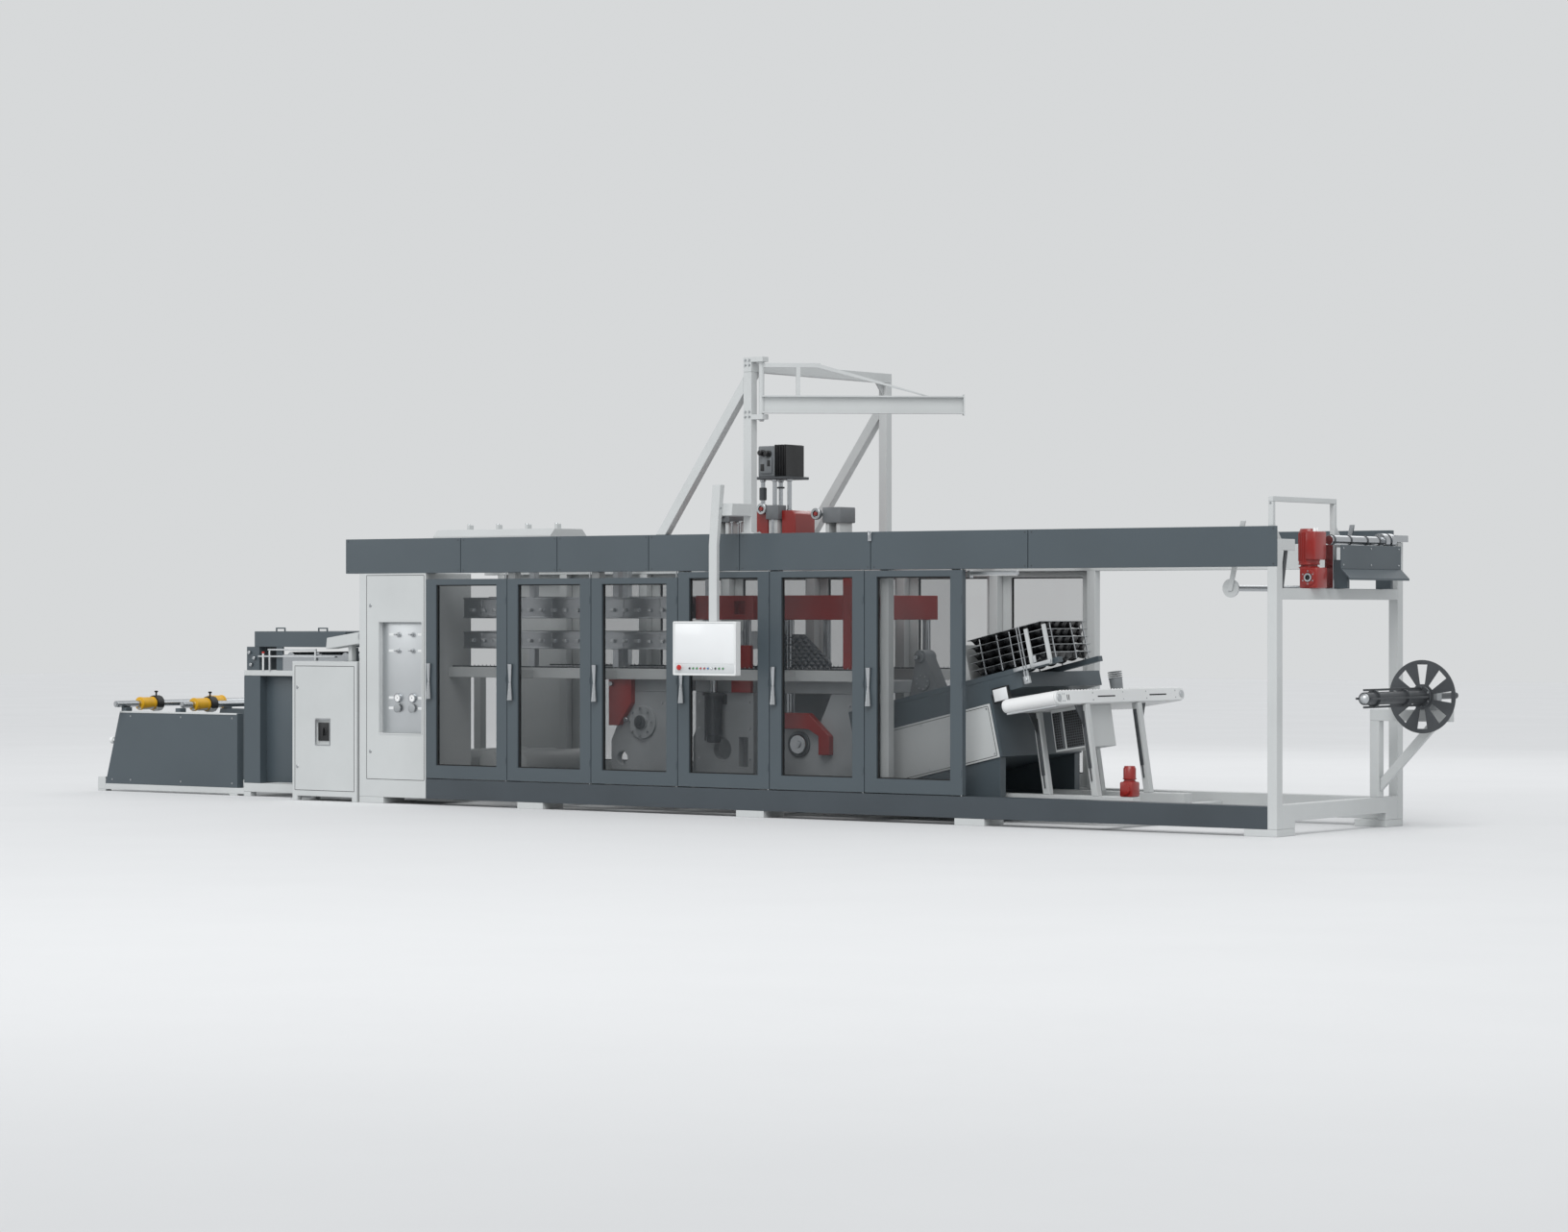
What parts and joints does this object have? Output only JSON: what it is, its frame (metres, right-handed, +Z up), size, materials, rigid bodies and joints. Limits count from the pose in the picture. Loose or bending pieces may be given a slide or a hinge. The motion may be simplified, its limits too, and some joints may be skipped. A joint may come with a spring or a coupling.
{
  "type": "thermoforming machine",
  "caption": "Guarded in-line thermoforming machine with ovens, forming stations, tray stacker, scrap reel, unwinder, gantry jib and a swivelling operator panel.",
  "frame": {"origin": "on the floor under the middle of the line", "axes": "+X along the line to the scrap reel, +Y from the operator's side to the back, +Z up"},
  "size_m": [13.38, 2.434, 3.73],
  "materials": {
    "pale_grey": "satin powder coat",
    "slate_grey": "satin powder coat",
    "plinth_grey": "satin powder coat",
    "board_grey": "matt panel",
    "panel_white": "satin powder coat",
    "belt_white": "smooth belt",
    "machine_red": "gloss enamel",
    "cast_grey": "painted casting",
    "bright_steel": "ground and polished",
    "brushed": "brushed",
    "drive_black": "satin black",
    "tray_black": "formed sheet",
    "smoked_glass": "smoked clear sheet"
  },
  "bodies": {
    "machine_frame": {"control_column": "pale_grey", "end_frame": "pale_grey", "hoop_frame": "pale_grey", "gantry_frame": "pale_grey", "jib_brackets": "pale_grey", "panel_arm": "pale_grey", "infeed_cabinet": "pale_grey", "infeed_stand": "pale_grey", "front_posts": "pale_grey", "rear_posts": "pale_grey", "base_cross_members": "pale_grey", "roof_cross_members": "pale_grey", "top_beams": "pale_grey", "reel_bracket": "pale_grey", "rear_guards": "pale_grey", "chain_rails": "pale_grey", "oven_cover": "pale_grey", "stacker_side_panels": "pale_grey", "conveyor_cart": "pale_grey", "floor_feet": "pale_grey", "fascia_front": "slate_grey", "fascia_rear": "slate_grey", "infeed_hood": "slate_grey", "unwinder_frame": "slate_grey", "stacker_body": "slate_grey", "winder_hood": "slate_grey", "door_4": "slate_grey", "plinth_rails": "plinth_grey", "instrument_board": "board_grey", "cross_conveyor": "belt_white", "winder_gearmotor": "machine_red", "press_crossheads": "machine_red", "cart_gearmotor": "machine_red", "press_side_plates": "cast_grey", "press_platens": "cast_grey", "press_pillars": "bright_steel", "web_rollers": "bright_steel", "unwind_shafts": "bright_steel", "infeed_rollers": "bright_steel", "door_hinge_pins": "bright_steel", "oven_banks": "brushed", "air_tanks": "brushed", "reel_bearing": "brushed", "roof_drive": "drive_black", "tray_stack": "tray_black", "door_4_glass": "smoked_glass", "rear_glass": "smoked_glass"},
    "guard_door_1": {"door_1": "slate_grey", "door_1_glass": "smoked_glass"},
    "guard_door_2": {"door_2": "slate_grey", "door_2_glass": "smoked_glass"},
    "guard_door_3": {"door_3": "slate_grey", "door_3_glass": "smoked_glass"},
    "guard_door_5": {"door_5": "slate_grey", "door_5_glass": "smoked_glass"},
    "guard_door_6": {"door_6": "slate_grey", "door_6_glass": "smoked_glass"},
    "jib": {"jib_arm": "pale_grey"},
    "swivel_panel": {"operator_panel": "panel_white"},
    "reel": {"scrap_reel": "brushed"}
  },
  "joints": [
    {"name": "door_1_hinge", "type": "hinge", "parent": "machine_frame", "child": "guard_door_1", "pos_m": [-1.4485, -0.874, 1.1], "axis": [0, 0, 1], "range_deg": [0, 90]},
    {"name": "door_2_hinge", "type": "hinge", "parent": "machine_frame", "child": "guard_door_2", "pos_m": [-0.5315, -0.874, 1.1], "axis": [0, 0, 1], "range_deg": [0, 90]},
    {"name": "door_3_hinge", "type": "hinge", "parent": "machine_frame", "child": "guard_door_3", "pos_m": [0.3855, -0.874, 1.1], "axis": [0, 0, 1], "range_deg": [0, 90]},
    {"name": "door_5_hinge", "type": "hinge", "parent": "machine_frame", "child": "guard_door_5", "pos_m": [2.2615, -0.874, 1.1], "axis": [0, 0, 1], "range_deg": [0, 90]},
    {"name": "door_6_hinge", "type": "hinge", "parent": "machine_frame", "child": "guard_door_6", "pos_m": [3.1995, -0.874, 1.1], "axis": [0, 0, 1], "range_deg": [0, 90]},
    {"name": "jib_swing", "type": "hinge", "parent": "machine_frame", "child": "jib", "pos_m": [1.231, -0.84, 3.45], "axis": [0, 0, 1], "range_deg": [-120, 45]},
    {"name": "panel_swivel", "type": "hinge", "parent": "machine_frame", "child": "swivel_panel", "pos_m": [1.022, -1.2, 1.589], "axis": [0, 0, 1], "range_deg": [-45, 45]},
    {"name": "reel_spin", "type": "hinge", "parent": "machine_frame", "child": "reel", "pos_m": [6.42, 0.66, 1.018], "axis": [0, 1, 0], "continuous": true}
  ]
}
